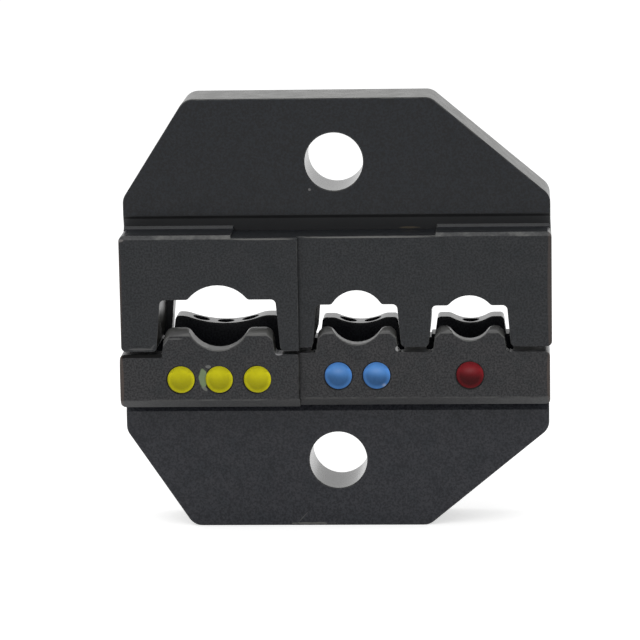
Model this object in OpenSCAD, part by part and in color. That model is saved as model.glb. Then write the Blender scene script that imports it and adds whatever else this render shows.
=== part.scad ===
// Crimping die pair for insulated cable terminals, shown nested and almost closed.
// X runs along the jaws, the nests are open to the front (-Y) and to the back, Z is up.
// The lower die carries three anvils, which enter the three pockets of the upper die.
// Each nest has a front zone for the insulation sleeve and a rear zone for the wire.
// Values in square brackets are given for the yellow, the blue and the red nest.

/* [Blocks] */
// Width of both blocks
block_w = 42.65; // [42.55:0.05:46]
// Middle of the lower die, from the screw axis
lower_mid = -0.05; // [-0.5:0.05:0.5]
// Middle of the upper die, from the screw axis
upper_mid = 0.15; // [-0.5:0.05:0.5]
// Radius of the blocks' outer corners
block_corner_r = 0.5; // [0.1:0.05:1]
// Height of the upper block, from the ends of its legs to its ledge
upper_block_h = 11.42; // [9.5:0.01:14]
// Height of the lower block, from its ledge to the floor between the anvils
lower_block_h = 5.45; // [4.8:0.05:8]
// Height left between the legs and the floor, as the dies stand in the photo
jaw_gap = 0.53; // [0.3:0.01:1]
// How much further down the legs of the yellow section reach
yellow_leg_drop = 0.2; // [0:0.01:0.25]
// How far the blue and red section stands out in front of the wings
block_proud = 3.4; // [2.5:0.1:5]
// How far the yellow section stands out in front of the others
yellow_step = 0.75; // [0.3:0.05:1.2]
// Where that step is, from the screw axis
step_x = -3.5; // [-4:0.1:-2.9]
// Bevel along the lower block's front bottom edge
keel_bevel = 0.85; // [0.2:0.05:1]

/* [Wings] */
// Width of the wings, which fit between the cheeks of the hand tool
wing_w = 42.5; // [41:0.1:42.5]
// Height of a wing beyond its ledge
wing_h = 13; // [12:0.1:16]
// Thickness of the wings
wing_t = 7; // [5:0.1:8]
// Upright part of a wing's sides
wing_side_h = 3.1; // [2:0.1:4]
// How far the steep left corner cuts in, on the lower and on the upper wing
left_inset = [6.6, 6.35]; // [3:0.05:9]
// How far the shallow right corner cuts in, on the lower and on the upper wing
right_inset = [12.1, 11.75]; // [6:0.05:13]
// Radius of the wings' corners
wing_corner_r = 1.6; // [0.5:0.1:2.5]
// Diameter of the screw holes
screw_hole_d = 5.8; // [4:0.1:7]
// Upper screw hole above its ledge
upper_hole_rise = 6.65; // [5.5:0.05:8]
// Lower screw hole below its ledge
lower_hole_drop = 6.25; // [5.5:0.05:8]

/* [Ledges] */
// How far the bearing pads rise above the middle of a ledge
pad_rise = 0.25; // [0.1:0.05:0.5]
// Width of the lower middle stretch between the pads
pad_gap_w = 20.15; // [14:0.05:26]
// Bevel along the front edge of the upper pads
pad_bevel = 0.37; // [0.1:0.01:0.6]
// Height of the slanted relief next to the ledge, on the lower and on the upper wing
relief_h = [1.15, 1.4]; // [0.5:0.05:2.5]
// Depth of that relief at the ledge
relief_depth = 0.45; // [0.1:0.05:1]
// Bevel left in the corner between the relief and a pad
pad_corner = 0.28; // [0.05:0.01:0.4]

/* [Nest zones] */
// Where the front zone of the anvils ends, in front of the wing's face
front_zone_y = -2; // [-2.4:0.1:-1]
// Depth of the rear zone, back from the groove between the two zones
rear_zone_depth = 2.7; // [1.5:0.1:4]
// Depth of the groove between the two zones, below the floor
groove_depth = 1.2; // [0.3:0.1:2]
// How far the anvils' tops fall towards the front, before the bevel
nose_fall = 0.13; // [0.02:0.01:0.3]
// Length of that fall
nose_fall_run = 0.75; // [0.3:0.05:0.8]
// How much lower the bevel leaves the front edge
nose_bevel_drop = 0.4; // [0.1:0.01:0.6]
// Length of that bevel
nose_bevel_run = 0.45; // [0.2:0.05:0.5]
// Width of the facet on each top corner of the front face
nose_facet = 0.35; // [0.1:0.05:0.6]
// Slope of that facet, in degrees
nose_slope = 45; // [30:1:60]
// How far that facet turns to the front, in degrees
nose_turn = 20; // [5:1:40]
// Height of the plinth that each rear rib stands on
plinth_h = 0.3; // [0.1:0.05:0.32]
// Gap between a plinth and the walls of its pocket
plinth_gap = 0.08; // [0.05:0.01:0.2]
// Lean of the anvils' sides, in degrees
anvil_draft = 8; // [0:0.5:10]
// Lean of the pockets' walls, in degrees
pocket_draft = 5; // [0:0.5:8]
// Radius at the anvils' feet
anvil_foot_r = 0.35; // [0.1:0.05:0.5]
// Radius of the pockets' top corners
pocket_corner_r = 0.5; // [0.1:0.05:0.6]
// Radius of the inner corners at the ends of the legs
leg_corner_r = 0.5; // [0.1:0.05:0.7]

/* [Nest positions and widths] */
// Centre of each nest, from the screw axis
nest_x = [-11.5, 2.2, 13.35]; // [-20:0.05:20]
// Width across the top of each anvil
anvil_w = [10.6, 7.55, 6.65]; // [5:0.05:12]
// Radius of each anvil's top corners
anvil_corner_r = [0.85, 0.4, 0.4]; // [0.1:0.05:1]
// Width of each rear rib
rib_w = [10.4, 7.55, 6.65]; // [5:0.05:12]
// How far each rib and the pocket over it stand to the right of the nest's centre
rib_shift = [0.2, 0, 0]; // [0:0.05:0.3]
// Radius of each rib's top corners
rib_corner_r = [0.45, 0.4, 0.4]; // [0.1:0.05:1]
// Width of each pocket at its roof
pocket_w = [11.45, 8, 7.4]; // [6:0.05:13]
// How much narrower each pocket is in the rear zone
rear_narrowing = [1, 0, 0]; // [0:0.05:1.1]

/* [Anvils] */
// Height of the anvils above the floor
anvil_h = 2.4; // [2.2:0.05:3]
// Depth of the hollow across the front of each anvil
hollow_depth = [1.95, 1.57, 1.25]; // [0.5:0.01:2]
// Radius of that hollow
hollow_r = [3.2, 2.75, 2.2]; // [2:0.05:5]
// Radius that blends the hollow into the anvil's top
hollow_blend = [0.8, 0.8, 0.8]; // [0.2:0.05:1]
// Height of each rear rib above the floor
rib_h = [2.35, 2.08, 2.1]; // [1.5:0.01:3]
// Depth of the hollow across each rear rib
rib_hollow_depth = [0.78, 0.6, 0.62]; // [0.3:0.01:1]
// Radius of that hollow
rib_hollow_r = [10.5, 5.5, 3.6]; // [3:0.1:12]
// Radius that blends it into the rib's top
rib_hollow_blend = [3, 1.6, 1.3]; // [0.2:0.1:4]
// Spacing of the dimples
dimple_pitch = 2.5; // [2:0.05:3]
// Diameter of a dimple
dimple_d = 1.7; // [0.8:0.05:1.9]
// Depth of a dimple
dimple_depth = 0.45; // [0.1:0.05:0.6]

/* [Pockets] */
// Height of each pocket's flat roof above the ends of the legs
roof_h = [5, 4.3, 4.14]; // [3.5:0.01:6]
// Rise of the vault in the middle of each roof
vault_rise = [1.45, 1.43, 1]; // [0.5:0.01:2]
// Radius of the vault
vault_r = [3.8, 2.85, 2.75]; // [2:0.05:5]
// Radius that blends the vault into the flat roof
vault_blend = [0.4, 0.4, 0.4]; // [0.1:0.05:1]
// How much lower the flat roof is in the rear zone
rear_roof_drop = [0.83, 0.48, 0.82]; // [0:0.01:1]
// Rise of the vault in the rear zone, which has the rib's radius
rear_vault_rise = [0.85, 0.6, 0.6]; // [0.3:0.01:1]

/* [Colour dots] */
// Spacing of the dots of one nest
dot_pitch = 3.8; // [3:0.05:4.5]
// Diameter of a dot
dot_d = 2.7; // [2:0.05:3.2]
// Depth of the straight part of a dot's drilled hole
dot_depth = 1; // [0.7:0.05:1.5]
// Yellow dots below the floor between the anvils
yellow_dot_drop = 2.52; // [1.8:0.01:3]
// Blue and red dots below that floor
small_dot_drop = 2.35; // [1.8:0.01:3]
// How far the edge of the enamel lies below the block's face
enamel_drop = 0.55; // [0.4:0.01:0.65]
// How high the drop of enamel bulges over its edge
enamel_rise = 0.3; // [0.05:0.01:0.35]

/* [Hidden] */
YELLOW = 0;
BLUE = 1;
RED = 2;
NESTS = [YELLOW, BLUE, RED];
LOWER = 0;
UPPER = 1;
FRONT = 0;
REAR = 1;
// Each nest has as many colour dots as grip dimples
marks = [3, 2, 1];
steel_colour = [0.2, 0.2, 0.21];
yellow_colour = [0.78, 0.75, 0.08];
blue_colour = [0.28, 0.52, 0.82];
red_colour = [0.55, 0.07, 0.1];
// Overshoot of a cut past the face that it opens
over = 1;
// How far a tooth's root is let into the block
sunk = 0.2;
// Steps of a blended arc or of a rounded corner
arc_steps = 6;
corner_steps = 8;
round_fn = 64;
// Half the point angle of the drill that made the dots
drill_half_angle = 59;
// Heights of the faces, with the lower wing's outer edge at zero
lower_ledge_z = wing_h;
floor_z = lower_ledge_z + lower_block_h;
legs_z = floor_z + jaw_gap;
upper_ledge_z = legs_z + upper_block_h;
// Front faces of the two sections, and the groove between the nests' zones
small_front_y = -block_proud;
yellow_front_y = -block_proud - yellow_step;
rear_zone_y = wing_t - rear_zone_depth;
// Centre of the whole pair, seen from above
mid_x = (lower_mid + upper_mid) / 2;
mid_y = (yellow_front_y + wing_t) / 2;

function nest_front(nest) = nest == YELLOW ? yellow_front_y : small_front_y;

// Height of the ends of the legs beside a nest
function legs_end(nest) = nest == YELLOW ? legs_z - yellow_leg_drop : legs_z;

// How far a nest's outline is moved to the right in one of its zones
function shift(nest, zone) = zone == REAR ? rib_shift[nest] : 0;

// Height of a pocket's flat roof, and half its width there, at a nest's zone
function roof(nest, zone) = roof_h[nest] - (zone == REAR ? rear_roof_drop[nest] : 0);
function roof_half(nest, zone) =
    pocket_w[nest] / 2
    + (zone == REAR ? rear_roof_drop[nest] * tan(pocket_draft) - rear_narrowing[nest] / 2 : 0);

// Half the width of a pocket at the ends of the legs
function mouth_half(nest, zone) = roof_half(nest, zone) + roof(nest, zone) * tan(pocket_draft);

function unit(v) = v / norm(v);

// An arc about a centre, from one direction to another, with or without its first point
function arc(centre, r, from, to, steps, first = 0) =
    [for (i = [first : steps])
        let (a = from + (to - from) * i / steps)
        centre + r * [cos(a), sin(a)]];

// The corner b between the points a and c, rounded with the radius r
function corner(a, b, c, r) =
    let (u = unit(a - b),
         v = unit(c - b),
         half = acos(u * v) / 2,
         centre = b + unit(u + v) * r / sin(half),
         start = b + u * r / tan(half) - centre,
         turn = cross(u, v) > 0 ? -1 : 1,
         from = atan2(start[1], start[0]))
    arc(centre, r, from, from + turn * (180 - 2 * half), corner_steps);

// An outline with each point rounded by its own radius, where that isn't zero
function rounded(points, radii) =
    let (n = len(points))
    [for (i = [0 : n - 1])
        each radii[i] == 0
            ? [points[i]]
            : corner(points[(i + n - 1) % n], points[i], points[(i + 1) % n], radii[i])];

// A level line with a round hollow in it, blended at both ends, from left to right.
// side is -1 for a hollow that goes down and 1 for a vault that goes up.
function hollow(x, level, depth, r, blend, side) =
    let (reach = sqrt(depth * (2 * (r + blend) - depth)),
         sweep = acos(1 - depth / (r + blend)),
         bowl = [x, level + side * (depth - r)],
         left = [x - reach, level + side * blend],
         right = [x + reach, level + side * blend])
    concat(
        arc(left, blend, -90 * side, (-90 + sweep) * side, arc_steps),
        arc(bowl, r, (90 + sweep) * side, (90 - sweep) * side, 2 * arc_steps, 1),
        arc(right, blend, (-90 - sweep) * side, -90 * side, arc_steps, 1));

function zeros(points) = [for (p = points) 0];

// Where a nest's marks stand, counted in spacings from its centre
function places(nest) = [for (i = [0 : marks[nest] - 1]) i - (marks[nest] - 1) / 2];

// Moves the pair so that its middle stands over the origin
module centred() {
    translate([-mid_x, -mid_y, 0]) children();
}

// An outline in X and Z, extruded back from one depth to another
module slab(y0, y1) {
    translate([0, y1, 0]) rotate([90, 0, 0]) linear_extrude(height = y1 - y0) children();
}

// An outline in Y and Z, extruded to the right
module bar(x0, x1) {
    translate([x0, 0, 0]) rotate([90, 0, 90]) linear_extrude(height = x1 - x0) children();
}

// A wing that rises from a ledge at zero, drawn down into its block
module wing(die) {
    half = wing_w / 2;
    outline = [[-half, -over], [half, -over], [half, wing_side_h], [half - right_inset[die], wing_h],
               [left_inset[die] - half, wing_h], [-half, wing_side_h]];
    radii = [0, 0, wing_corner_r, wing_corner_r, wing_corner_r, wing_corner_r];
    slab(0, wing_t) polygon(rounded(outline, radii));
}

// Depth of a wing's slanted relief at a height above the ledge
function relief_y(die, rise) = relief_depth * (1 - rise / relief_h[die]);

// What a wing and its ledge at zero lose: the screw hole, the slanted relief along the pads,
// and the lower stretch between the two pads with its own relief
module ledge_cuts(die, hole_rise) {
    translate([0, wing_t + over, hole_rise]) rotate([90, 0, 0])
        cylinder(h = wing_t + 2 * over, d = screw_hole_d, $fn = round_fn);
    top = relief_h[die];
    bar(-block_w, block_w)
        polygon([[-over, 0], [relief_y(die, 0) - pad_corner, 0], [relief_y(die, pad_corner), pad_corner],
                 [0, top], [-over, top]]);
    front = yellow_front_y - over;
    bar(-pad_gap_w / 2, pad_gap_w / 2)
        polygon([[front, -pad_rise], [relief_y(die, -pad_rise), -pad_rise], [0, top], [front, top]]);
}

// A block of two sections, with the yellow one standing out and reaching down by leg_drop
module block(z0, z1, mid, leg_drop) {
    left = mid - block_w / 2;
    right = mid + block_w / 2;
    r = block_corner_r;
    slab(small_front_y, wing_t)
        polygon(rounded([[left, z0], [right, z0], [right, z1], [left, z1]], [r, r, r, r]));
    slab(yellow_front_y, wing_t)
        polygon(rounded([[left, z0 - leg_drop], [step_x, z0 - leg_drop], [step_x, z1], [left, z1]],
                        [r, 0, 0, r]));
}

// A bevel along a front edge; rise is 1 below a top edge and -1 above a bottom edge
module front_bevel(x0, x1, front, z, run, drop, rise) {
    bar(x0, x1) polygon([[front - over, z - rise * drop], [front, z - rise * drop], [front + run, z],
                         [front + run, z + rise * over], [front - over, z + rise * over]]);
}

// One tooth of the lower die: a tapered stump with a round hollow across its top.
// shift moves the stump to the right of its hollow.
module tooth(nest, width, shift, height, corner_r, depth, r, blend) {
    x = nest_x[nest] + shift;
    top = floor_z + height;
    root = floor_z - sunk;
    foot = width / 2 + height * tan(anvil_draft);
    spread = foot + anvil_foot_r + sunk;
    stump = [[x + width / 2, top], [x + foot, floor_z], [x + spread, floor_z], [x + spread, root],
             [x - spread, root], [x - spread, floor_z], [x - foot, floor_z], [x - width / 2, top]];
    radii = [corner_r, anvil_foot_r, 0, 0, 0, 0, anvil_foot_r, corner_r];
    across = hollow(nest_x[nest], top, depth, r, blend, -1);
    polygon(rounded(concat(stump, across), concat(radii, zeros(across))));
}

// What the front of an anvil loses: a double bevel along its top and a facet on each corner
module nose_cuts(nest) {
    front = nest_front(nest);
    top = floor_z + anvil_h;
    half = anvil_w[nest] / 2;
    run = nose_bevel_run + nose_fall_run;
    drop = nose_fall + nose_bevel_drop;
    bar(nest_x[nest] - 2 * half, nest_x[nest] + 2 * half)
        polygon([[front - over, top - drop], [front, top - drop], [front + nose_bevel_run, top - nose_fall],
                 [front + run, top], [front + run, top + over], [front - over, top + over]]);
    for (side = [0, 1])
        translate([nest_x[nest], front, top - drop]) mirror([side, 0, 0])
            translate([half - nose_facet, 0, 0]) rotate([0, -nose_slope, -nose_turn])
                translate([0, -half, -half]) cube([over, 2 * half, 2 * half]);
}

// The front zone of one anvil
module anvil(nest) {
    difference() {
        slab(nest_front(nest), front_zone_y)
            tooth(nest, anvil_w[nest], 0, anvil_h, anvil_corner_r[nest], hollow_depth[nest],
                  hollow_r[nest], hollow_blend[nest]);
        nose_cuts(nest);
    }
}

// The rear rib of one nest, with its plinth and its row of grip dimples
module rib(nest) {
    bottom = floor_z + rib_h[nest] - rib_hollow_depth[nest];
    plinth = mouth_half(nest, REAR) - plinth_gap;
    difference() {
        union() {
            slab(rear_zone_y, wing_t)
                tooth(nest, rib_w[nest], rib_shift[nest], rib_h[nest], rib_corner_r[nest],
                      rib_hollow_depth[nest], rib_hollow_r[nest], rib_hollow_blend[nest]);
            translate([nest_x[nest] + rib_shift[nest] - plinth, rear_zone_y, floor_z - sunk])
                cube([2 * plinth, wing_t - rear_zone_y, sunk + plinth_h]);
        }
        for (i = places(nest)) {
            away = i * dimple_pitch;
            lift = rib_hollow_r[nest] - sqrt(pow(rib_hollow_r[nest], 2) - pow(away, 2));
            translate([nest_x[nest] + away, (rear_zone_y + wing_t) / 2, bottom + lift - dimple_depth])
                cylinder(h = over, d = dimple_d, $fn = round_fn);
        }
    }
}

// The groove between the two zones of one nest
module zone_groove(nest) {
    half = mouth_half(nest, FRONT) + leg_corner_r / 2;
    translate([nest_x[nest] - half, front_zone_y, floor_z - groove_depth])
        cube([2 * half, rear_zone_y - front_zone_y, groove_depth + over]);
}

// The outline of a pocket's zone, open at the bottom, with a round vault in its roof
module pocket_space(nest, zone, rise, r) {
    x = nest_x[nest] + shift(nest, zone);
    half = roof_half(nest, zone);
    mouth = mouth_half(nest, zone);
    top = legs_z + roof(nest, zone);
    end = legs_end(nest);
    below = end - over;
    flare = mouth + leg_corner_r + sunk;
    space = [[x + half, top], [x + mouth, end], [x + flare, end], [x + flare, below],
             [x - flare, below], [x - flare, end], [x - mouth, end], [x - half, top]];
    radii = [pocket_corner_r, leg_corner_r, 0, 0, 0, 0, leg_corner_r, pocket_corner_r];
    vault = hollow(nest_x[nest], top, rise, r, vault_blend[nest], 1);
    polygon(rounded(concat(space, vault), concat(radii, zeros(vault))));
}

// A pocket: its front zone runs back to the rear zone, which has a lower roof
module pocket(nest) {
    slab(yellow_front_y - over, rear_zone_y)
        pocket_space(nest, FRONT, vault_rise[nest], vault_r[nest]);
    slab(rear_zone_y, wing_t + over)
        pocket_space(nest, REAR, rear_vault_rise[nest], rib_hollow_r[nest]);
}

// The drilled hole of a colour dot: straight, then a drill point. front is its mouth.
module dot_hole(front) {
    r = dot_d / 2;
    rotate([-90, 0, 0]) {
        translate([0, 0, front]) cylinder(h = dot_depth - front, r = r, $fn = round_fn);
        translate([0, 0, dot_depth])
            cylinder(h = r / tan(drill_half_angle), r1 = r, r2 = 0, $fn = round_fn);
    }
}

function dot_z(nest) = floor_z - (nest == YELLOW ? yellow_dot_drop : small_dot_drop);

module at_dot(nest, i) {
    translate([nest_x[nest] + i * dot_pitch, nest_front(nest), dot_z(nest)]) children();
}

// A drop of enamel at the bottom of its drilled hole, with a bulging front
module enamel(nest, i) {
    ball_r = (pow(dot_d / 2, 2) + pow(enamel_rise, 2)) / (2 * enamel_rise);
    front = enamel_drop - enamel_rise;
    at_dot(nest, i) intersection() {
        dot_hole(front);
        translate([0, front + ball_r, 0]) sphere(r = ball_r, $fn = round_fn);
    }
}

// Lower die: wing, block, three anvils and ribs, and the holes of the dots
module lower_die() {
    color(steel_colour) centred() difference() {
        union() {
            translate([lower_mid, 0, lower_ledge_z]) mirror([0, 0, 1]) wing(LOWER);
            difference() {
                block(lower_ledge_z, floor_z, lower_mid, 0);
                for (nest = NESTS)
                    zone_groove(nest);
            }
            for (nest = NESTS) {
                anvil(nest);
                rib(nest);
            }
        }
        translate([0, 0, lower_ledge_z]) mirror([0, 0, 1]) ledge_cuts(LOWER, lower_hole_drop);
        front_bevel(-block_w, step_x, yellow_front_y, lower_ledge_z, keel_bevel, keel_bevel, -1);
        front_bevel(step_x, block_w, small_front_y, lower_ledge_z, keel_bevel, keel_bevel, -1);
        for (nest = NESTS)
            for (i = places(nest))
                at_dot(nest, i) dot_hole(-over);
    }
}

// Upper die: a wing on a taller block with three pockets
module upper_die() {
    color(steel_colour) centred() difference() {
        union() {
            translate([upper_mid, 0, upper_ledge_z]) wing(UPPER);
            block(legs_z, upper_ledge_z, upper_mid, yellow_leg_drop);
        }
        translate([0, 0, upper_ledge_z]) ledge_cuts(UPPER, upper_hole_rise);
        front_bevel(-block_w, -pad_gap_w / 2, yellow_front_y, upper_ledge_z, pad_bevel, pad_bevel, 1);
        front_bevel(pad_gap_w / 2, block_w, small_front_y, upper_ledge_z, pad_bevel, pad_bevel, 1);
        for (nest = NESTS)
            pocket(nest);
    }
}

module yellow_dot_left() {
    color(yellow_colour) centred() enamel(YELLOW, -1);
}

module yellow_dot_middle() {
    color(yellow_colour) centred() enamel(YELLOW, 0);
}

module yellow_dot_right() {
    color(yellow_colour) centred() enamel(YELLOW, 1);
}

module blue_dot_left() {
    color(blue_colour) centred() enamel(BLUE, -0.5);
}

module blue_dot_right() {
    color(blue_colour) centred() enamel(BLUE, 0.5);
}

module red_dot() {
    color(red_colour) centred() enamel(RED, 0);
}

lower_die();
upper_die();
yellow_dot_left();
yellow_dot_middle();
yellow_dot_right();
blue_dot_left();
blue_dot_right();
red_dot();
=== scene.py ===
import math

import bmesh
import bpy
from mathutils import Matrix, Vector


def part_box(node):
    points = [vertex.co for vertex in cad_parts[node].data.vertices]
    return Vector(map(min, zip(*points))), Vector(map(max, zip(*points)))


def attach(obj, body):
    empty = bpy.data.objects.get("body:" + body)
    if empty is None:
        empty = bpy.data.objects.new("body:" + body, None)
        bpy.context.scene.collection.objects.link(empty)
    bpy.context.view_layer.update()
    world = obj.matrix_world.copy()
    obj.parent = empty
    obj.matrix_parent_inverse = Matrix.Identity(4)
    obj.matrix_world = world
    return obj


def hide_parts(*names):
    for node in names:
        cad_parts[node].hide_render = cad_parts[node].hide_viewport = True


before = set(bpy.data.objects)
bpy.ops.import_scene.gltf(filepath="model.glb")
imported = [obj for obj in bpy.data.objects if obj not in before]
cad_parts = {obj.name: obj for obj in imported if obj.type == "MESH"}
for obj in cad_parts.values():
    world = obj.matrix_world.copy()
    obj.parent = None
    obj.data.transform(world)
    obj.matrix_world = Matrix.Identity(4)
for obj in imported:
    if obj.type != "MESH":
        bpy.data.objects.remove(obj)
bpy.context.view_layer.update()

mm = 0.001

# Camera: a long lens, a little above and to the right of the dies

cameraSettings = {
    "place": (18.3 * mm, -344.9 * mm, 87.1 * mm),
    "aim": (-1.67 * mm, -1.4 * mm, 21.1 * mm),
    "roll": math.radians(-0.98),
    "lens": 197.3,
    "sensorWidth": 36,
    "clipStart": 10 * mm,
}


def buildCamera(settings):
    cameraData = bpy.data.cameras.new("photoCamera")
    cameraData.lens = settings["lens"]
    cameraData.sensor_width = settings["sensorWidth"]
    cameraData.clip_start = settings["clipStart"]
    camera = bpy.data.objects.new("photoCamera", cameraData)
    bpy.context.scene.collection.objects.link(camera)
    place = Vector(settings["place"])
    look = Vector(settings["aim"]) - place
    turn = look.to_track_quat("-Z", "Y").to_matrix().to_4x4()
    camera.matrix_world = Matrix.Translation(place) @ turn @ Matrix.Rotation(settings["roll"], 4, "Z")
    bpy.context.scene.camera = camera


# Helpers for node trees

noiseSpan = (0.3, 0.7)
noiseMiddle = 0.5
bumpHeight = 0.02 * mm

# the sockets of a Mix node that carry its factor and two values, and the one with the result
mixSockets = {"FLOAT": ((0, 2, 3), 0), "RGBA": ((0, 6, 7), 2)}


def addNode(tree, kind, place=(0, 0), **values):
    node = tree.nodes.new(kind)
    node.location = place
    for name, value in values.items():
        setattr(node, name, value)
    return node


def plug(tree, socket, value):
    # a number or colour is set on the socket, another node's output is linked to it
    if isinstance(value, (int, float)):
        socket.default_value = value
    elif isinstance(value, tuple):
        socket.default_value = (*value, 1)
    else:
        tree.links.new(value, socket)


def mathNode(tree, operation, first, second, place=(0, 0)):
    node = addNode(tree, "ShaderNodeMath", place, operation=operation)
    plug(tree, node.inputs[0], first)
    plug(tree, node.inputs[1], second)
    return node.outputs[0]


def mapRange(tree, value, span, ends, place, kind):
    node = addNode(tree, "ShaderNodeMapRange", place, interpolation_type=kind)
    tree.links.new(value, node.inputs["Value"])
    for name, number in zip(("From Min", "From Max", "To Min", "To Max"), (*span, *ends)):
        node.inputs[name].default_value = number
    return node.outputs["Result"]


def ramp(tree, value, low, high, place=(0, 0)):
    # 0 below low, 1 above high and a smooth rise between them
    return mapRange(tree, value, (low, high), (0, 1), place, "SMOOTHSTEP")


def spread(tree, value, ends, place=(0, 0)):
    # turns the usual span of a noise into a span between two values
    return mapRange(tree, value, noiseSpan, ends, place, "LINEAR")


def mixNode(tree, kind, values, place, **more):
    node = addNode(tree, "ShaderNodeMix", place, data_type=kind, **more)
    inputs, result = mixSockets[kind]
    for index, value in zip(inputs, values):
        plug(tree, node.inputs[index], value)
    return node.outputs[result]


def mixColour(tree, factor, first, second, place=(0, 0), blend="MIX"):
    return mixNode(tree, "RGBA", (factor, first, second), place, blend_type=blend)


def mixValue(tree, factor, first, second, place=(0, 0)):
    return mixNode(tree, "FLOAT", (factor, first, second), place)


def addBump(tree, shader, height, strength):
    bump = addNode(tree, "ShaderNodeBump", (300, -300))
    bump.inputs["Strength"].default_value = strength
    bump.inputs["Distance"].default_value = bumpHeight
    tree.links.new(height, bump.inputs["Height"])
    tree.links.new(bump.outputs["Normal"], shader.inputs["Normal"])


def newMaterial(name):
    material = bpy.data.materials.new(name)
    material.use_nodes = True
    tree = material.node_tree
    tree.nodes.clear()
    output = addNode(tree, "ShaderNodeOutputMaterial", (900, 0))
    return material, tree, output


def newPrincipled(name, specular):
    material, tree, output = newMaterial(name)
    shader = addNode(tree, "ShaderNodeBsdfPrincipled", (600, 0))
    shader.inputs["Specular IOR Level"].default_value = specular
    tree.links.new(shader.outputs[0], output.inputs["Surface"])
    return material, tree, shader


def newGroup(name, inputs, outputs):
    group = bpy.data.node_groups.new(name, "ShaderNodeTree")
    for sockets, side in ((inputs, "INPUT"), (outputs, "OUTPUT")):
        for socket in sockets:
            group.interface.new_socket(socket, in_out=side, socket_type="NodeSocketFloat")
    entry = addNode(group, "NodeGroupInput", (-1100, 0))
    leave = addNode(group, "NodeGroupOutput", (900, 0))
    return group, entry.outputs, leave.inputs


def placeGroup(tree, group, place, **values):
    node = addNode(tree, "ShaderNodeGroup", place)
    node.node_tree = group
    for name, value in values.items():
        node.inputs[name].default_value = value
    return node.outputs


# Shader group: the fine grain and the slow clouds of a ground, oxidised surface

grainSettings = {"detail": {"Grain": 4, "Cloud": 3}, "roughness": 0.6, "cloudHeight": 0.5}


def buildGrainGroup(settings):
    group, entry, leave = newGroup(
        "groundGrain", ("Grain Scale", "Cloud Scale"), ("Grain", "Cloud", "Height"))
    place = addNode(group, "ShaderNodeTexCoord", (-900, -300)).outputs["Object"]
    noises = {}
    for name, detail in settings["detail"].items():
        noise = addNode(group, "ShaderNodeTexNoise", (-500, -200 * len(noises)))
        noise.inputs["Detail"].default_value = detail
        noise.inputs["Roughness"].default_value = settings["roughness"]
        group.links.new(place, noise.inputs["Vector"])
        group.links.new(entry[name + " Scale"], noise.inputs["Scale"])
        group.links.new(noise.outputs["Fac"], leave[name])
        noises[name] = noise.outputs["Fac"]
    slow = mathNode(group, "MULTIPLY", noises["Cloud"], settings["cloudHeight"], (0, -300))
    height = mathNode(group, "ADD", noises["Grain"], slow, (200, -100))
    group.links.new(height, leave["Height"])
    return group


# Shader group: an oval on the fronts, leaning sideways if wished, with its outline broken up by noise.
# The fading, in mm, is the depth from which a mark gets fainter and the way it takes to vanish.

markSettings = {"noiseScale": 2600, "outline": (0.7, 1.2), "fading": (-0.9, 0.1)}


def buildMarkGroup(settings):
    group, entry, leave = newGroup(
        "ovalMark",
        ("Centre X", "Centre Z", "Half Width", "Half Height", "Lean", "Ragged", "Depth", "Fade"),
        ("Cover",))
    place = addNode(group, "ShaderNodeTexCoord", (-900, -300)).outputs["Object"]
    split = addNode(group, "ShaderNodeSeparateXYZ", (-700, -300))
    noise = addNode(group, "ShaderNodeTexNoise", (-700, -500))
    noise.inputs["Scale"].default_value = settings["noiseScale"]
    for node in (split, noise):
        group.links.new(place, node.inputs["Vector"])
    up = mathNode(group, "SUBTRACT", split.outputs["Z"], entry["Centre Z"], (-500, -200))
    leaning = mathNode(group, "MULTIPLY", up, entry["Lean"], (-300, -100))
    along = mathNode(group, "SUBTRACT", split.outputs["X"], entry["Centre X"], (-500, 0))
    along = mathNode(group, "SUBTRACT", along, leaning, (-100, 0))
    squares = []
    for distance, half in ((along, "Half Width"), (up, "Half Height")):
        ratio = mathNode(group, "DIVIDE", distance, entry[half], (100, -200 * len(squares)))
        squares.append(mathNode(group, "POWER", ratio, 2.0, (200, -200 * len(squares))))
    broken = mathNode(group, "SUBTRACT", noise.outputs["Fac"], noiseMiddle, (0, -500))
    broken = mathNode(group, "MULTIPLY", broken, entry["Ragged"], (200, -500))
    away = mathNode(group, "ADD", mathNode(group, "ADD", *squares, (350, 0)), broken, (450, 0))
    inside = mathNode(group, "SUBTRACT", 1.0, ramp(group, away, *settings["outline"], (550, 0)), (650, 0))
    behind = mathNode(group, "SUBTRACT", split.outputs["Y"], entry["Depth"], (150, -300))
    behind = mathNode(group, "DIVIDE", behind, entry["Fade"], (300, -300))
    front = mathNode(group, "SUBTRACT", 1.0, ramp(group, behind, 0.0, 1.0, (450, -300)), (550, -300))
    group.links.new(mathNode(group, "MULTIPLY", front, inside, (750, 0)), leave["Cover"])
    return group


# Black oxide on hardened steel: the fronts are finely mottled, the cut profile is smoother,
# and the outer edges are rubbed bare in places

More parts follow.
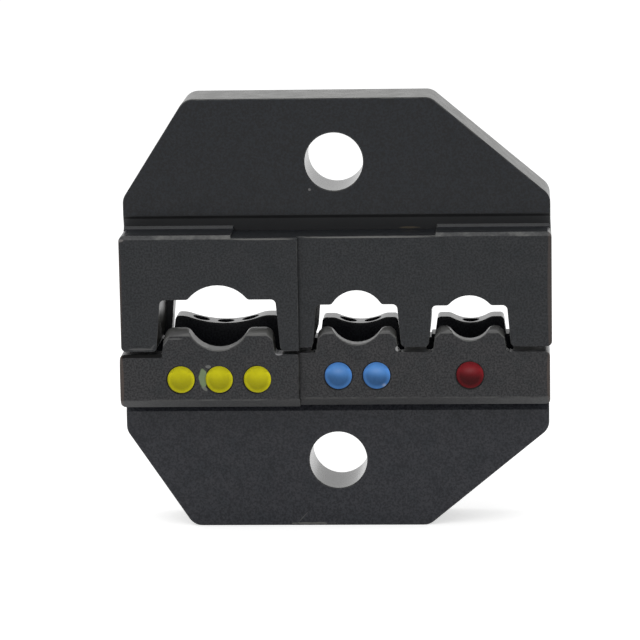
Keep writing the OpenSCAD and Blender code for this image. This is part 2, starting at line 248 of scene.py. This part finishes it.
blackSteel = {
    # the lower die's colours are lighter than the upper die's, and each block's lighter than its wing:
    # painted light, for the bright floor these fronts reflect
    "lower": {"wing": ((0.0015, 0.0022, 0.006), (0.0238, 0.025, 0.0312)),
              "block": ((0.0025, 0.0025, 0.004), (0.0325, 0.032, 0.034)),
              # bored: the grey of the holes' walls, also painted on the rib tops as the light they catch
              "bored": (0.112, 0.112, 0.108)},
    "upper": {"wing": ((0.0001, 0.0003, 0.0015), (0.0068, 0.0092, 0.0132)),
              "block": ((0.0005, 0.0012, 0.0028), (0.019, 0.021, 0.0238)),
              "bored": (0.086, 0.086, 0.082)},
    "blockDepth": (-3.2 * mm, -2.8 * mm),
    "grainContrast": (0.38, 0.62),
    "cloudCover": (0.4, 0.7),
    "cloudTint": (0.72, 0.8, 0.82),
    "faceColours": {"cutProfile": (0.034, 0.034, 0.029),
                    "reliefWall": (0.04, 0.041, 0.043),
                    "noseWall": (0.15, 0.15, 0.15),
                    "shadedWall": (0.001, 0.001, 0.001)},
    "rubbedColour": (0.12, 0.12, 0.115),
    "rubbedCover": (0.36, 0.72),
    "frontRoughness": (0.28, 0.42),
    "profileRoughness": (0.26, 0.34),
    "wallRoughness": {"boredWall": 0.18, "shadedWall": 1.0},
    "specular": 0.31,
    "grainScale": 5200,
    "cloudScale": 620,
    "bump": 0.16,
}

# Small marks on the fronts, wear and smears beside painted highlights and painted shadows, with lengths
# in mm:
# centre, half size, lean, raggedness, colour, cover, and a fading of its own where the usual one doesn't
# suit

wearAndLightMarks = {
    "lower": [
        # the smear beside the middle yellow dot
        ((-13.15, 16.1), (0.43, 0.95), 0.0, 1.1, (0.19, 0.26, 0.13), 0.85),
        ((-12.6, 17.25), (0.28, 0.16), 0.0, 1.4, (0.2, 0.2, 0.19), 0.6),
        ((-13.0, 15.05), (0.2, 0.26), -0.6, 1.4, (0.2, 0.21, 0.18), 0.6),
        # bright spots at the anvils' feet
        ((-5.5, 18.62), (0.42, 0.26), 0.3, 0.8, (0.3, 0.3, 0.31), 0.9),
        ((6.15, 18.8), (0.2, 0.26), 0.0, 0.6, (0.34, 0.34, 0.34), 0.9),
        # a scratch and chips at the wing's edge
        ((-3.7, 0.85), (0.07, 0.5), 0.9, 1.6, (0.09, 0.09, 0.09), 0.7),
        ((-2.8, 0.22), (1.9, 0.1), 0.0, 4.5, (0.14, 0.14, 0.13), 0.7),
        # the block's two ends
        ((-21.45, 15.8), (0.42, 3.6), 0.0, 0.5, (0.085, 0.06, 0.048), 0.55, (-5.3, 1.3)),
        ((21.3, 15.8), (0.4, 3.6), 0.0, 0.5, (0.085, 0.06, 0.048), 0.55, (-4.6, 1.3)),
        # a painted highlight along the yellow anvil's shoulder
        ((-15.85, 20.07), (0.75, 0.08), 0.0, 0.8, (0.1, 0.1, 0.1), 0.8),
        ((-16.8, 19.72), (0.09, 0.4), 0.7, 0.8, (0.1, 0.1, 0.1), 0.8),
    ],
    "upper": [
        # a bright spot below the screw hole
        ((-2.49, 34.28), (0.14, 0.14), 0.0, 0.3, (0.14, 0.14, 0.14), 0.95),
        # a warm streak in the recess, and a painted shadow along the crease under the wing
        ((7.36, 30.34), (1.0, 0.11), 0.0, 1.4, (0.13, 0.11, 0.08), 0.8),
        ((0, 31.58), (40, 0.15), 0.0, 0.5, (0.001, 0.001, 0.0012), 0.75),
        # the block's two ends
        ((-21.45, 24.6), (0.42, 7.5), 0.0, 0.5, (0.075, 0.052, 0.042), 0.55, (-5.3, 1.3)),
        ((21.3, 24.6), (0.3, 7.5), 0.0, 0.5, (0.07, 0.052, 0.045), 0.5, (-4.6, 1.3)),
        # the first leg's lower edge
        ((-19.3, 19.04), (1.2, 0.11), 0.0, 1.0, (0.085, 0.085, 0.085), 0.75),
        ((-18.1, 19.25), (0.12, 0.28), 0.8, 0.8, (0.06, 0.06, 0.06), 0.7),
        # painted highlights along the block's upper edge, from the corner on
        ((-21.1, 29.95), (0.4, 0.14), 0.9, 0.8, (0.16, 0.15, 0.145), 0.85),
        ((-7.1, 30.02), (3.2, 0.08), 0.0, 0.4, (0.15, 0.147, 0.142), 0.85),
        ((3.4, 30.02), (6.6, 0.08), 0.0, 0.4, (0.15, 0.147, 0.142), 0.85),
    ],
}

dotRim = {"half": 1.44, "shift": -0.05, "ragged": 0.2, "colour": (0.002, 0.002, 0.003), "cover": 0.85}


def dotRims(settings):
    # the shadowed rim of each drilled dot, wider below and to the left
    marks = []
    for node in sorted(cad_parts):
        if "_dot" in node:
            low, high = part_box(node)
            centre = [(low[axis] + high[axis]) / 2 / mm + settings["shift"] for axis in (0, 2)]
            marks.append((centre, [settings["half"]] * 2, 0.0,
                          settings["ragged"], settings["colour"], settings["cover"]))
    return marks


def addMarks(tree, colour, marks):
    for index, (centre, half, lean, ragged, painted, cover, *fading) in enumerate(marks):
        depth, fade = fading[0] if fading else markSettings["fading"]
        lengths = {"Centre X": centre[0], "Centre Z": centre[1], "Half Width": half[0],
                   "Half Height": half[1], "Depth": depth, "Fade": fade}
        mark = placeGroup(tree, shaderGroups["mark"], (-300 + 40 * index, 900), Lean=lean, Ragged=ragged,
                          **{name: length * mm for name, length in lengths.items()})
        share = mathNode(tree, "MULTIPLY", mark["Cover"], cover, (-200 + 40 * index, 700))
        colour = mixColour(tree, share, colour, painted, (-100 + 40 * index, 500))
    return colour


def buildSteelMaterial(name, settings, die):
    material, tree, shader = newPrincipled(name, settings["specular"])
    grain = placeGroup(tree, shaderGroups["grain"], (-1100, 0), **{
        "Grain Scale": settings["grainScale"], "Cloud Scale": settings["cloudScale"]})
    place = addNode(tree, "ShaderNodeTexCoord", (-1300, 500)).outputs["Object"]
    split = addNode(tree, "ShaderNodeSeparateXYZ", (-1100, 500))
    tree.links.new(place, split.inputs["Vector"])

    speckle = ramp(tree, grain["Grain"], *settings["grainContrast"], (-800, 300))
    block, wing = (mixColour(tree, speckle, *settings[die][part], (-600, 300))
                   for part in ("block", "wing"))
    # the blocks' fronts take their lighter colour, which is painted light
    depth = ramp(tree, split.outputs["Y"], *settings["blockDepth"], (-800, 500))
    front = mixColour(tree, depth, block, wing, (-500, 400))
    clouds = ramp(tree, grain["Cloud"], *settings["cloudCover"], (-800, 100))
    tinted = mixColour(tree, 1.0, front, settings["cloudTint"], (-600, 100), "MULTIPLY")
    colour = mixColour(tree, clouds, front, tinted, (-400, 200))

    shares = {}
    for attribute in faceMarks:
        mark = addNode(tree, "ShaderNodeAttribute", (-800, -150), attribute_name=attribute)
        shares[attribute] = mark.outputs["Fac"]
    faceColours = {**settings["faceColours"], "boredWall": settings[die]["bored"]}
    for attribute, painted in faceColours.items():
        colour = mixColour(tree, shares[attribute], colour, painted, (-200, 200))
    rubbed = ramp(tree, grain["Cloud"], *settings["rubbedCover"], (-600, -300))
    rubbed = mathNode(tree, "MULTIPLY", shares["rubbedEdge"], rubbed, (-400, -300))
    colour = mixColour(tree, rubbed, colour, settings["rubbedColour"], (0, 200))
    colour = addMarks(tree, colour, (dotRims(dotRim) if die == "lower" else []) + wearAndLightMarks[die])
    tree.links.new(colour, shader.inputs["Base Color"])

    coarse, fine = (spread(tree, grain["Cloud"], settings[part + "Roughness"], (-400, -500))
                    for part in ("front", "profile"))
    rough = mixValue(tree, shares["cutProfile"], coarse, fine, (-100, -200))
    for attribute, roughness in settings["wallRoughness"].items():
        rough = mixValue(tree, shares[attribute], rough, roughness, (100, -200))
    tree.links.new(rough, shader.inputs["Roughness"])
    addBump(tree, shader, grain["Height"], settings["bump"])
    return material


# Enamel at the bottom of the drilled dots

enamel = {
    "colours": {"yellow": (0.7, 0.65, 0.012), "blue": (0.1, 0.3, 0.72), "red": (0.24, 0.012, 0.018)},
    "cloudCover": (0.4, 0.75),
    "cloudShade": 0.85,
    "roughness": (0.22, 0.36),
    "specular": 0.09,
    "grainScale": 2600,
    "cloudScale": 700,
    "bump": 0.1,
}


def buildEnamelMaterial(name, settings, colour):
    material, tree, shader = newPrincipled(name, settings["specular"])
    grain = placeGroup(tree, shaderGroups["grain"], (-700, 0), **{
        "Grain Scale": settings["grainScale"], "Cloud Scale": settings["cloudScale"]})
    clouds = ramp(tree, grain["Cloud"], *settings["cloudCover"], (-300, 100))
    darker = tuple(settings["cloudShade"] * channel for channel in colour)
    mixed = mixColour(tree, clouds, colour, darker, (-100, 100))
    # the points carry painted shading, which darkens the colour, and a painted highlight, which whitens
    # it
    tone, sheen = (addNode(tree, "ShaderNodeAttribute", (-300, -200), attribute_name=attribute)
                   for attribute in ("tone", "sheen"))
    mixed = mixColour(tree, 1.0, mixed, tone.outputs["Color"], (100, 100), "MULTIPLY")
    mixed = mixColour(tree, sheen.outputs["Fac"], mixed, (1, 1, 1), (300, 100))
    tree.links.new(mixed, shader.inputs["Base Color"])
    rough = spread(tree, grain["Grain"], settings["roughness"], (0, -100))
    tree.links.new(rough, shader.inputs["Roughness"])
    addBump(tree, shader, grain["Height"], settings["bump"])
    return material


# The two dies: the frame's own solids with their outer edges broken

dieFinish = {
    # width of the broken edges, and how much of the room beside a short one they may take
    "edgeBreak": 0.11 * mm,
    "edgeSteps": 3,
    "roomShare": 0.4,
    # angles from which an edge is bevelled or looks sharp, round the anvils' noses and elsewhere
    "bevelAngle": math.radians(30),
    "sharpAngle": math.radians(14),
    "noseAngle": math.radians(55),
    "chainTurn": math.radians(30),
    # heights and the depth in front of which every edge there stays as it is
    "leftSharp": (((18.38 * mm, 18.52 * mm), 1.0), ((12.95 * mm, 13.42 * mm), -3.4 * mm)),
    # cleaning of the solid
    "weld": {"solid": 0.002 * mm, "keel": 0.02 * mm, "lip": 0.01 * mm, "seam": 0.001 * mm},
    "flatAngle": math.radians(0.5),
    "shortEdge": 0.05 * mm,
    "holeHeights": (6.75 * mm, 37.05 * mm),
    "dotHeight": 16.0 * mm,
    # the left end of the lower block's floor, which is worn round
    "lip": {"end": -17.2 * mm, "heights": (17.9 * mm, 18.9 * mm), "angle": math.radians(60),
            "frontReach": 0.01 * mm, "break": 0.28 * mm, "steps": 4,
            "shadedDepth": -5.2 * mm, "shadedHeights": (18.1 * mm, 18.46 * mm)},
    # the recess in the lower block's bottom edge, which is filled
    "keel": {"ends": (-10.3 * mm, 10.2 * mm), "heights": (13.2 * mm, 13.3 * mm),
             "front": (0, 0.25 * mm, -0.25 * mm), "back": (0, -0.375 * mm, -0.25 * mm)},
    # places of the faces that the material treats apart
    "noseHeights": (18.6 * mm, 21.3 * mm),
    "noseDepth": -3.3 * mm,
    "dullHeights": {"keel": (12.3 * mm, 13.3 * mm), "parting": (17.0 * mm, 19.05 * mm),
                    "ledge": (30.05 * mm, 31.0 * mm)},
    "recessHeights": (30.45 * mm, 31.9 * mm),
    "keelHeights": (12.9 * mm, 13.9 * mm),
    "dotHeights": (14.4 * mm, 17.6 * mm),
    "dotSide": 20 * mm,
    "ribHeights": (19.2 * mm, 21.5 * mm),
    "ribDepth": 2.9 * mm,
    "pocketHeights": (18.5 * mm, 24.5 * mm),
    "pocketSides": (-5 * mm, 5 * mm),
    "stepSides": (-3.75 * mm, -3.45 * mm),
    "endSide": 20.9 * mm,
    "holeReach": 3.2 * mm,
    "wingDepth": -1.3 * mm,
    "padCorner": 30.38 * mm,
    "reliefHeight": 30 * mm,
    # limits for the direction that such a face looks in
    "facing": {"profile": 0.4, "ledge": 0.5, "step": 0.9, "pocket": 0.8, "dot": -0.97,
               "slant": (-0.95, -0.55), "slantRise": 0.3, "noseRise": 0.25, "wornRise": 0.5,
               "ribRise": 0.3, "lipRise": 0.1, "relief": -0.8, "reliefRise": -0.2},
    # how much of its own look each gets
    "shares": {"wornEdge": 0.45, "wornNose": 0.9, "wornLedge": 0.8, "wornCorner": 0.05,
               "keel": 0.42, "pad": 0.2, "nose": 0.6, "pocket": 0.8},
}

# face attributes that the steel's material reads
faceMarks = ("rubbedEdge", "cutProfile", "boredWall", "reliefWall", "noseWall", "shadedWall")

# for measuring the room beside an edge: the places are shares of the edge's length
foldAngle = math.radians(50)
leastLength = 0.001 * mm
leastSlant = 0.001
touchingPlaces = (0.5,)
apartPlaces = (0.1, 0.5, 0.9)


def foldsBack(edge, other):
    # two edges that leave their shared corner in nearly the same direction
    corner = (set(edge.verts) & set(other.verts)).pop()
    there = edge.other_vert(corner).co - corner.co
    back = other.other_vert(corner).co - corner.co
    return there.angle(back) < foldAngle


def roomBeside(edge, sharp):
    # how far the faces beside an edge reach straight across, and how far round its own corners
    room = 1.0
    for loop in edge.link_loops:
        spent = 0.0
        for end, other in ((loop, loop.link_loop_prev.edge),
                           (loop.link_loop_next, loop.link_loop_next.edge)):
            if end.is_convex and other in sharp:
                slant = math.tan((math.pi - end.calc_angle()) / 2)
                spent += slant
                room = min(room, other.calc_length() / max(slant, leastSlant))
        room = min(room, edge.calc_length() / max(spent, leastSlant))
        start = loop.vert.co
        along = loop.link_loop_next.vert.co - start
        inward = loop.face.normal.cross(along).normalized()
        for other in loop.face.edges:
            if other == edge:
                continue
            touches = bool(set(edge.verts) & set(other.verts))
            if touches and not foldsBack(edge, other):
                continue
            for share in touchingPlaces if touches else apartPlaces:
                near, far = (vert.co - start - along * share for vert in other.verts)
                low, high = near.dot(along), far.dot(along)
                if low * high <= 0 and low != high:
                    across = near.lerp(far, low / (low - high)).dot(inward)
                    if across > leastLength:
                        room = min(room, across)
    return room


def evenChains(widths, turn):
    # edges that run on into one another get the narrowest bevel among them
    for first in sorted(widths, key=widths.get):
        waiting = [first]
        while waiting:
            edge = waiting.pop()
            for corner in edge.verts:
                onward = corner.co - edge.other_vert(corner).co
                for other in corner.link_edges:
                    if widths.get(other, 0) <= widths[first]:
                        continue
                    if onward.angle(other.other_vert(corner).co - corner.co) < turn:
                        widths[other] = widths[first]
                        waiting.append(other)


def within(value, ends):
    return ends[0] < value < ends[1]


def isNose(place, settings):
    return place.y < settings["noseDepth"] and within(place.z, settings["noseHeights"])


def faceShares(face, settings):
    # what the material needs to know of a face, read off its place and direction
    place, facing = face.center, face.normal
    limits, shares, lip = settings["facing"], settings["shares"], settings["lip"]
    beside = abs(facing.y) < limits["profile"]
    ledge = abs(facing.x) < limits["ledge"]
    slanted = within(facing.y, limits["slant"]) and abs(facing.z) > limits["slantRise"]
    level = [name for name, heights in settings["dullHeights"].items() if within(place.z, heights)]
    dull = bool(level) and (ledge or abs(place.x) < settings["endSide"])
    step = facing.x > limits["step"] and within(place.x, settings["stepSides"])
    pocket = (facing.x > limits["pocket"] and within(place.x, settings["pocketSides"])
              and within(place.z, settings["pocketHeights"]))
    recess = ledge and within(place.z, settings["recessHeights"]) and place.y < settings["wingDepth"]
    hole = any(math.hypot(place.x, place.z - height) < settings["holeReach"]
               for height in settings["holeHeights"])
    ribTop = (place.y > settings["ribDepth"] and within(place.z, settings["ribHeights"])
              and facing.z > limits["ribRise"])
    nose = isNose(place, settings) and facing.z > limits["noseRise"]
    keel = slanted and within(place.z, settings["keelHeights"])
    dotWall = (within(place.z, settings["dotHeights"]) and abs(place.x) < settings["dotSide"]
               and place.y < settings["noseDepth"] and facing.y > limits["dot"])
    wornLip = (place.x < lip["end"] and place.y < lip["shadedDepth"]
               and within(place.z, lip["shadedHeights"]) and facing.z > limits["lipRise"])
    relief = (place.z > settings["reliefHeight"] and facing.z < limits["reliefRise"]
              and facing.y < limits["relief"])
    if slanted and facing.z > limits["wornRise"] and "ledge" in level:
        rubbed = shares["wornCorner" if place.z > settings["padCorner"] else "wornLedge"]
    elif nose:
        rubbed = shares["wornNose"]
    else:
        rubbed = shares["wornEdge"] if face.material_index else 0
    pad = dull and "parting" not in level
    return {
        "rubbedEdge": rubbed,
        "cutProfile": beside and not (dull or step or pocket or recess),
        # the rib tops share the holes' grey, as painted light on these upward faces
        "boredWall": beside and (hole or ribTop),
        "reliefWall": shares["keel"] if keel else 1 if relief else shares["pad"] if pad else 0,
        "noseWall": shares["nose"] if nose else 0,
        "shadedWall": 1 if dotWall or wornLip else shares["pocket"] if pocket else 0,
    }


def markFaces(data, settings):
    shares = [faceShares(face, settings) for face in data.polygons]
    for name in faceMarks:
        attribute = data.attributes.new(name, "FLOAT", "FACE")
        attribute.data.foreach_set("value", [float(share[name]) for share in shares])
    data.polygons.foreach_set("material_index", [0] * len(data.polygons))


def roundLip(mesh, settings):
    # the left end of the floor is worn round, so the parting gap looks wider there
    lip = settings["lip"]
    front = min(vert.co.y for vert in mesh.verts)
    edges = [edge for edge in mesh.edges if edge.calc_face_angle(0) > lip["angle"] and all(
        vert.co.x < lip["end"] and vert.co.y < front + lip["frontReach"]
        and within(vert.co.z, lip["heights"]) for vert in edge.verts)]
    bmesh.ops.bevel(mesh, geom=edges, offset=lip["break"], offset_type="OFFSET", segments=lip["steps"],
                    profile=0.5, affect="EDGES", clamp_overlap=False, material=-1)
    bmesh.ops.remove_doubles(mesh, verts=mesh.verts, dist=settings["weld"]["lip"])


def levelKeel(mesh, settings):
    # the lower block's bottom edge runs level from end to end, as in the photo
    keel = settings["keel"]
    for vert in mesh.verts:
        if within(vert.co.x, keel["ends"]) and within(vert.co.z, keel["heights"]) and vert.co.y < 0:
            vert.co += Vector(keel["front" if vert.co.y < settings["wingDepth"] else "back"])
    bmesh.ops.remove_doubles(mesh, verts=mesh.verts, dist=settings["weld"]["keel"])


def readSolid(node, settings):
    mesh = bmesh.new()
    mesh.from_mesh(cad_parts[node].data)
    bmesh.ops.remove_doubles(mesh, verts=mesh.verts, dist=settings["weld"]["solid"])
    if node == "lower_die":
        levelKeel(mesh, settings)
    for height in sorted((*settings["holeHeights"], settings["dotHeight"])):
        # a seam through the holes keeps each flat face free of islands
        cut = bmesh.ops.bisect_plane(mesh, geom=mesh.verts[:] + mesh.edges[:] + mesh.faces[:],
                                     dist=settings["weld"]["seam"], plane_co=(0, 0, height),
                                     plane_no=(0, 0, 1))
        for element in cut["geom_cut"]:
            if isinstance(element, bmesh.types.BMEdge):
                element.seam = True
    bmesh.ops.dissolve_limit(mesh, angle_limit=settings["flatAngle"], verts=mesh.verts, edges=mesh.edges,
                             delimit={"SEAM"})
    bmesh.ops.dissolve_degenerate(mesh, dist=settings["shortEdge"], edges=mesh.edges)
    if node == "lower_die":
        roundLip(mesh, settings)
    return mesh


def weighEdges(mesh, settings):
    # each outer edge's share of the full bevel, as its bevel weight
    layer = mesh.edges.layers.float.new("bevel_weight_edge")
    sharp = set()
    for edge in mesh.edges:
        turn = edge.calc_face_angle_signed(0)
        nose = isNose((edge.verts[0].co + edge.verts[1].co) / 2, settings)
        edge.smooth = abs(turn) < settings["noseAngle" if nose else "sharpAngle"]
        left = any(all(within(vert.co.z, heights) and vert.co.y < front for vert in edge.verts)
                   for heights, front in settings["leftSharp"])
        if turn > settings["noseAngle" if nose else "bevelAngle"] and not left:
            sharp.add(edge)
    widths = {edge: min(settings["edgeBreak"], settings["roomShare"] * roomBeside(edge, sharp))
              for edge in sharp}
    evenChains(widths, settings["chainTurn"])
    for edge, width in widths.items():
        edge[layer] = width / settings["edgeBreak"]


def finishMesh(piece, name):
    graph = bpy.context.evaluated_depsgraph_get()
    data = bpy.data.meshes.new_from_object(piece.evaluated_get(graph))
    data.name = name
    piece.modifiers.clear()
    piece.data = data


def dressDie(node, name, settings):
    mesh = readSolid(node, settings)
    weighEdges(mesh, settings)
    for face in mesh.faces:
        face.smooth = True
    data = bpy.data.meshes.new(name)
    mesh.to_mesh(data)
    mesh.free()
    # the second slot only tells the new bevel faces from the old ones
    data.materials.append(None)
    data.materials.append(None)
    piece = bpy.data.objects.new(name, data)
    bpy.context.scene.collection.objects.link(piece)
    edges = piece.modifiers.new("brokenEdges", "BEVEL")
    edges.limit_method = "WEIGHT"
    edges.offset_type = "OFFSET"
    edges.width = settings["edgeBreak"]
    edges.segments = settings["edgeSteps"]
    edges.profile = 0.5
    edges.use_clamp_overlap = False
    edges.material = 1
    normals = piece.modifiers.new("evenNormals", "WEIGHTED_NORMAL")
    normals.mode = "FACE_AREA"
    normals.weight = 100
    normals.keep_sharp = True
    finishMesh(piece, name)
    markFaces(piece.data, settings)
    piece.data.materials.clear()
    return piece


# The enamel in a dot: a flat dome that climbs a little at the wall, with painted shading and a painted
# highlight on its points

dotShape = {
    "radius": 1.35 * mm,
    "sunk": 0.25 * mm,
    "peak": 0.04 * mm,
    "edge": 0.3 * mm,
    "depth": 1.0 * mm,
    "tip": 0.81 * mm,
    "rimWidth": 0.16 * mm,
    "climb": 0.09 * mm,
    # shares of the rim's width inwards and of its climb
    "rimCurve": ((0.5, 0.1), (0.15, 0.55), (0, 1)),
    "steps": 64,
    "rings": 14,
    "weld": 0.001 * mm,
    "sharpAngle": math.radians(50),
    # painted shading: middle level, step between the lighter upper and the darker lower half as if lit
    # from above, softness of the step
    "tones": {"yellow": (0.76, 0.25, 0.5), "blue": (0.72, 0.34, 0.3), "red": (0.56, 0.36, 0.3)},
    "toneLean": 0.15,
    "toneHeight": 0.1,
    # painted highlight on the rim and the painted shadow outside it: where they start, their width and
    # strength
    "rimTone": (0.7, 0.2, 0.34),
    "rimTop": 0.5,
    "rimShade": (0.9, 0.08, 0.3),
    "shadeSides": (0.45, 0.4),
    # painted highlight as a white sheen: its strength, its place and half size, and the white flecks on
    # some dots
    "sheens": {"yellow": 0.0, "blue": 0.07, "red": 0.03},
    "sheenSpot": ((0, 0.36), (0.42, 0.2)),
    "flecks": {"blue_dot_right": (0.55, -0.74)},
    "fleckSize": (0.13, 0.09),
    "fleckStrength": 4,
}


def rise(value, start, width):
    return min(max((value - start) / width, 0), 1)


def softSpot(side, up, place, size):
    return math.exp(-((side - place[0]) / size[0]) ** 2 - ((up - place[1]) / size[1]) ** 2)


def dotProfile(shape):
    # half a section, from the middle of the front round to the drill point behind
    climb = shape["edge"] - shape["peak"]
    radius = shape["radius"]
    profile = [(0, shape["peak"])]
    for ring in range(1, shape["rings"] + 1):
        out = (radius - shape["rimWidth"]) * ring / shape["rings"]
        profile.append((out, shape["peak"] + climb * (out / radius) ** 2))
    trough = profile[-1][1]
    for inward, height in shape["rimCurve"]:
        profile.append((radius - inward * shape["rimWidth"], trough - height * shape["climb"]))
    return profile + [(radius, shape["depth"]), (0, shape["depth"] + shape["tip"])]


def paintDot(node, data, centre, shape):
    # painted shading and painted white sheen of each point, by its place on the dot
    colourName = node.split("_")[0]
    middle, step, softness = shape["tones"][colourName]
    rimStart, rimWidth, rimTone = shape["rimTone"]
    shadeStart, shadeWidth, rimShade = shape["rimShade"]
    shadeMiddle, shadeLean = shape["shadeSides"]
    tones, sheens = [], []
    for vert in data.vertices:
        side, up = ((vert.co[axis] - centre[axis]) / shape["radius"] for axis in (0, 2))
        out = math.hypot(side, up)
        slope = up + shape["toneLean"] * side - shape["toneHeight"]
        tone = middle + step * math.tanh(slope / softness)
        if up < shape["rimTop"]:
            tone += rimTone * rise(out, rimStart, rimWidth)
        shade = rimShade * rise(out, shadeStart, shadeWidth) * (shadeMiddle - shadeLean * (side + up))
        tones.append(tone * (1 - shade))
        spot = softSpot(side, up, *shape["sheenSpot"])
        if node in shape["flecks"]:
            spot += shape["fleckStrength"] * softSpot(side, up, shape["flecks"][node], shape["fleckSize"])
        sheens.append(spot * shape["sheens"][colourName])
    for attribute, values in (("tone", tones), ("sheen", sheens)):
        data.attributes.new(attribute, "FLOAT", "POINT").data.foreach_set("value", values)


def buildDot(node, name, shape):
    low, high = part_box(node)
    centre = Vector(((low.x + high.x) / 2, low.y - shape["sunk"], (low.z + high.z) / 2))
    mesh = bmesh.new()
    line = [mesh.verts.new(centre + Vector((out, back, 0))) for out, back in dotProfile(shape)]
    edges = [mesh.edges.new(pair) for pair in zip(line, line[1:])]
    bmesh.ops.spin(mesh, geom=line + edges, cent=centre, axis=(0, 1, 0), angle=2 * math.pi,
                   steps=shape["steps"], use_merge=True)
    bmesh.ops.remove_doubles(mesh, verts=mesh.verts, dist=shape["weld"])
    bmesh.ops.recalc_face_normals(mesh, faces=mesh.faces)
    for face in mesh.faces:
        face.smooth = True
    data = bpy.data.meshes.new(name)
    mesh.to_mesh(data)
    mesh.free()
    data.set_sharp_from_angle(angle=shape["sharpAngle"])
    paintDot(node, data, centre, shape)
    piece = bpy.data.objects.new(name, data)
    bpy.context.scene.collection.objects.link(piece)
    return piece


# Stage: white floor and even light

stageSettings = {
    "floorSize": 6.0,
    "floorColour": (0.8, 0.8, 0.8),
    "floorGlow": 0.58,
    "skyStrength": 0.6,
    "lampSize": 0.3,
    "lampPower": 0.3,
    "lampPlace": (-0.02, -0.07, 0.22),
    "lampAim": (0, 0, 0.02),
}


def seenDirectly(tree, place):
    # 1 for what the camera, a reflection or a glass sees
    path = addNode(tree, "ShaderNodeLightPath", place)
    seen = mathNode(tree, "MAXIMUM", path.outputs["Is Camera Ray"], path.outputs["Is Glossy Ray"])
    return mathNode(tree, "MAXIMUM", seen, path.outputs["Is Transmission Ray"])


def buildFloor(settings):
    mesh = bmesh.new()
    bmesh.ops.create_grid(mesh, x_segments=1, y_segments=1, size=settings["floorSize"] / 2)
    data = bpy.data.meshes.new("paleFloor")
    mesh.to_mesh(data)
    mesh.free()
    floor = bpy.data.objects.new("paleFloor", data)
    bpy.context.scene.collection.objects.link(floor)
    material, tree, output = newMaterial("paleFloor")
    matte = addNode(tree, "ShaderNodeBsdfDiffuse", (300, 100))
    matte.inputs["Color"].default_value = (*settings["floorColour"], 1)
    glow = addNode(tree, "ShaderNodeEmission", (300, -100))
    strength = mathNode(tree, "MULTIPLY", seenDirectly(tree, (-200, -100)), settings["floorGlow"])
    tree.links.new(strength, glow.inputs["Strength"])
    both = addNode(tree, "ShaderNodeAddShader", (600, 0))
    tree.links.new(matte.outputs[0], both.inputs[0])
    tree.links.new(glow.outputs[0], both.inputs[1])
    tree.links.new(both.outputs[0], output.inputs["Surface"])
    data.materials.append(material)


def buildLight(settings):
    # the room is white to look at and dimmer as a light
    world = bpy.data.worlds.new("whiteRoom")
    world.use_nodes = True
    bpy.context.scene.world = world
    tree = world.node_tree
    background = tree.nodes["Background"]
    background.inputs["Color"].default_value = (1, 1, 1, 1)
    seen = seenDirectly(tree, (-600, 0))
    unseen = mathNode(tree, "SUBTRACT", 1.0, seen, (-400, -200))
    lit = mathNode(tree, "MULTIPLY", unseen, settings["skyStrength"], (-200, -200))
    strength = mathNode(tree, "ADD", seen, lit, (0, -100))
    tree.links.new(strength, background.inputs["Strength"])

    lampData = bpy.data.lights.new("softTop", "AREA")
    lampData.size = settings["lampSize"]
    lampData.energy = settings["lampPower"]
    lamp = bpy.data.objects.new("softTop", lampData)
    lamp.location = settings["lampPlace"]
    toDies = Vector(settings["lampAim"]) - lamp.location
    lamp.rotation_euler = toDies.to_track_quat("-Z", "Y").to_euler()
    bpy.context.scene.collection.objects.link(lamp)


# Build everything

buildCamera(cameraSettings)
buildFloor(stageSettings)
buildLight(stageSettings)
print("stage and camera ready")

shaderGroups = {"grain": buildGrainGroup(grainSettings), "mark": buildMarkGroup(markSettings)}
steelMaterials = {die: buildSteelMaterial("blackSteel" + die.title(), blackSteel, die)
                  for die in ("lower", "upper")}
enamelMaterials = {name: buildEnamelMaterial(name + "Enamel", enamel, colour)
                   for name, colour in enamel["colours"].items()}
print("materials ready")

for half, material in steelMaterials.items():
    die = dressDie(half + "_die", half + "DieBody", dieFinish)
    die.data.materials.append(material)
    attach(die, half)
    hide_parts(half + "_die")
print("dies ready")

for node in sorted(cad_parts):
    colourName = node.split("_")[0]
    if colourName in enamelMaterials:
        dot = buildDot(node, node.title().replace("_", "") + "Enamel", dotShape)
        dot.data.materials.append(enamelMaterials[colourName])
        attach(dot, "lower")
        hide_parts(node)
print("colour dots ready")

bpy.context.scene.view_settings.view_transform = "Standard"
